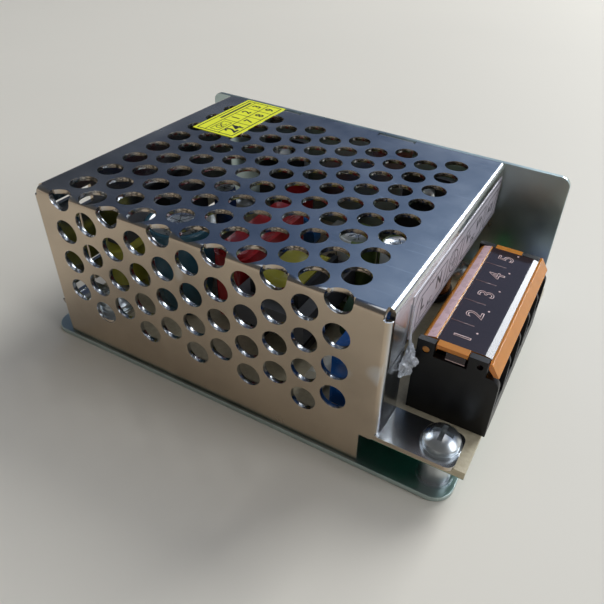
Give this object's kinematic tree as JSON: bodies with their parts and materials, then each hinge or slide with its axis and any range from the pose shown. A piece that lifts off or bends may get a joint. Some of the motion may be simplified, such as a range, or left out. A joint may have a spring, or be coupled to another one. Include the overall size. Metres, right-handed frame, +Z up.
{
  "type": "mesh case switching power supply",
  "caption": "Small enclosed mains power supply: folded steel case with a perforated cover, circuit board inside and a barrier terminal block with a hinged clear lid at one end.",
  "frame": {"origin": "centre of the base plate underside", "axes": "+X towards the terminal end, +Y towards the solid back wall, +Z up"},
  "size_m": [0.0867, 0.058, 0.0331],
  "materials": {
    "base_steel": "bright zinc-plated sheet steel",
    "zinc_steel": "zinc-plated steel",
    "cover_steel": "bright plated perforated sheet steel",
    "zinc_screw": "bright zinc",
    "board_laminate": "beige phenolic laminate",
    "solder": "bright solder",
    "black_plastic": "black moulded plastic",
    "nickel_plate": "nickel-plated steel",
    "amber_plastic": "clear amber polycarbonate",
    "clear_glue": "clear hot-melt glue",
    "yellow_label": "yellow paper sticker with black print",
    "clear_label": "greyish translucent film with black print",
    "teal_sleeve": "teal shrink sleeve, bare aluminium top",
    "green_sleeve": "dark green shrink sleeve, bare aluminium top",
    "blue_sleeve": "dark blue shrink sleeve, bare aluminium top",
    "ferrite": "grey ferrite",
    "yellow_tape": "copper winding under yellow polyester tape",
    "red_dip": "glossy red-brown epoxy dip",
    "blue_box": "blue moulded case",
    "ceramic": "off-white ceramic",
    "green_disc": "dark green dipped disc",
    "black_epoxy": "black epoxy",
    "grey_pad": "grey silicone sheet",
    "white_epoxy": "white epoxy",
    "blue_dip": "glossy blue dip",
    "copper": "enamelled copper wire",
    "resistor_body": "blue-grey lacquer",
    "green_led": "clear green lens",
    "trimmer_blue": "blue plastic",
    "trimmer_white": "white plastic"
  },
  "bodies": {
    "case": {"base_chassis": "base_steel", "standoffs": "zinc_steel", "mesh_cover": "cover_steel", "cover_screws": "zinc_screw", "cover_washers": "zinc_screw", "board_screws": "zinc_screw", "circuit_board": "board_laminate", "solder_joints": "solder", "terminal_body": "black_plastic", "terminal_contacts": "nickel_plate", "hot_glue": "clear_glue", "top_label": "yellow_label", "terminal_label": "clear_label", "bulk_capacitor": "teal_sleeve", "output_capacitors": "green_sleeve", "aux_capacitor": "blue_sleeve", "transformer_core": "ferrite", "transformer_bobbin": "black_plastic", "transformer_winding": "yellow_tape", "choke_core": "ferrite", "choke_winding": "yellow_tape", "film_capacitor": "red_dip", "snubber_capacitor": "red_dip", "mains_capacitor": "blue_box", "fuse": "ceramic", "thermistor": "green_disc", "bridge_rectifier": "black_epoxy", "switch_transistor": "black_epoxy", "output_rectifier": "black_epoxy", "insulating_pads": "grey_pad", "transistor_screws": "zinc_screw", "controller_chip": "black_epoxy", "optocoupler": "white_epoxy", "safety_capacitor": "blue_dip", "inductor_core": "ferrite", "inductor_winding": "copper", "resistors": "resistor_body", "small_diodes": "black_epoxy", "regulator": "black_epoxy", "status_led": "green_led", "trimmer_body": "trimmer_blue"},
    "lid": {"terminal_lid": "amber_plastic"},
    "trimmer": {"trimmer_rotor": "trimmer_white"},
    "clamp_1": {"clamp_plate_1": "nickel_plate"},
    "screw_1": {"terminal_screw_1": "zinc_screw"},
    "clamp_2": {"clamp_plate_2": "nickel_plate"},
    "screw_2": {"terminal_screw_2": "zinc_screw"},
    "clamp_3": {"clamp_plate_3": "nickel_plate"},
    "screw_3": {"terminal_screw_3": "zinc_screw"},
    "clamp_4": {"clamp_plate_4": "nickel_plate"},
    "screw_4": {"terminal_screw_4": "zinc_screw"},
    "clamp_5": {"clamp_plate_5": "nickel_plate"},
    "screw_5": {"terminal_screw_5": "zinc_screw"}
  },
  "joints": [
    {"name": "lid_hinge", "type": "hinge", "parent": "case", "child": "lid", "pos_m": [0.0322, -0.00228, 0.0209], "axis": [0, -1, 0], "range_deg": [0, 90]},
    {"name": "clamp_1_lift", "type": "slide", "parent": "case", "child": "clamp_1", "axis": [0, 0, 1], "range_m": [0, 0.0025]},
    {"name": "screw_1_turn", "type": "hinge", "parent": "clamp_1", "child": "screw_1", "pos_m": [0.0376, -0.01498, 0.014], "axis": [0, 0, 1], "range_deg": [0, 1800]},
    {"name": "clamp_2_lift", "type": "slide", "parent": "case", "child": "clamp_2", "axis": [0, 0, 1], "range_m": [0, 0.0025]},
    {"name": "screw_2_turn", "type": "hinge", "parent": "clamp_2", "child": "screw_2", "pos_m": [0.0376, -0.00863, 0.014], "axis": [0, 0, 1], "range_deg": [0, 1800]},
    {"name": "clamp_3_lift", "type": "slide", "parent": "case", "child": "clamp_3", "axis": [0, 0, 1], "range_m": [0, 0.0025]},
    {"name": "screw_3_turn", "type": "hinge", "parent": "clamp_3", "child": "screw_3", "pos_m": [0.0376, -0.00228, 0.014], "axis": [0, 0, 1], "range_deg": [0, 1800]},
    {"name": "clamp_4_lift", "type": "slide", "parent": "case", "child": "clamp_4", "axis": [0, 0, 1], "range_m": [0, 0.0025]},
    {"name": "screw_4_turn", "type": "hinge", "parent": "clamp_4", "child": "screw_4", "pos_m": [0.0376, 0.00407, 0.014], "axis": [0, 0, 1], "range_deg": [0, 1800]},
    {"name": "clamp_5_lift", "type": "slide", "parent": "case", "child": "clamp_5", "axis": [0, 0, 1], "range_m": [0, 0.0025]},
    {"name": "screw_5_turn", "type": "hinge", "parent": "clamp_5", "child": "screw_5", "pos_m": [0.0376, 0.01043, 0.014], "axis": [0, 0, 1], "range_deg": [0, 1800]},
    {"name": "trimmer_turn", "type": "hinge", "parent": "case", "child": "trimmer", "pos_m": [0.0399, 0.0176, 0.0096], "axis": [0, 0, 1], "range_deg": [-115, 115]}
  ],
  "couplings": [
    {"joint": "screw_1_turn", "follows": "clamp_1_lift", "rad_per_m": 12566},
    {"joint": "screw_2_turn", "follows": "clamp_2_lift", "rad_per_m": 12566},
    {"joint": "screw_3_turn", "follows": "clamp_3_lift", "rad_per_m": 12566},
    {"joint": "screw_4_turn", "follows": "clamp_4_lift", "rad_per_m": 12566},
    {"joint": "screw_5_turn", "follows": "clamp_5_lift", "rad_per_m": 12566}
  ]
}
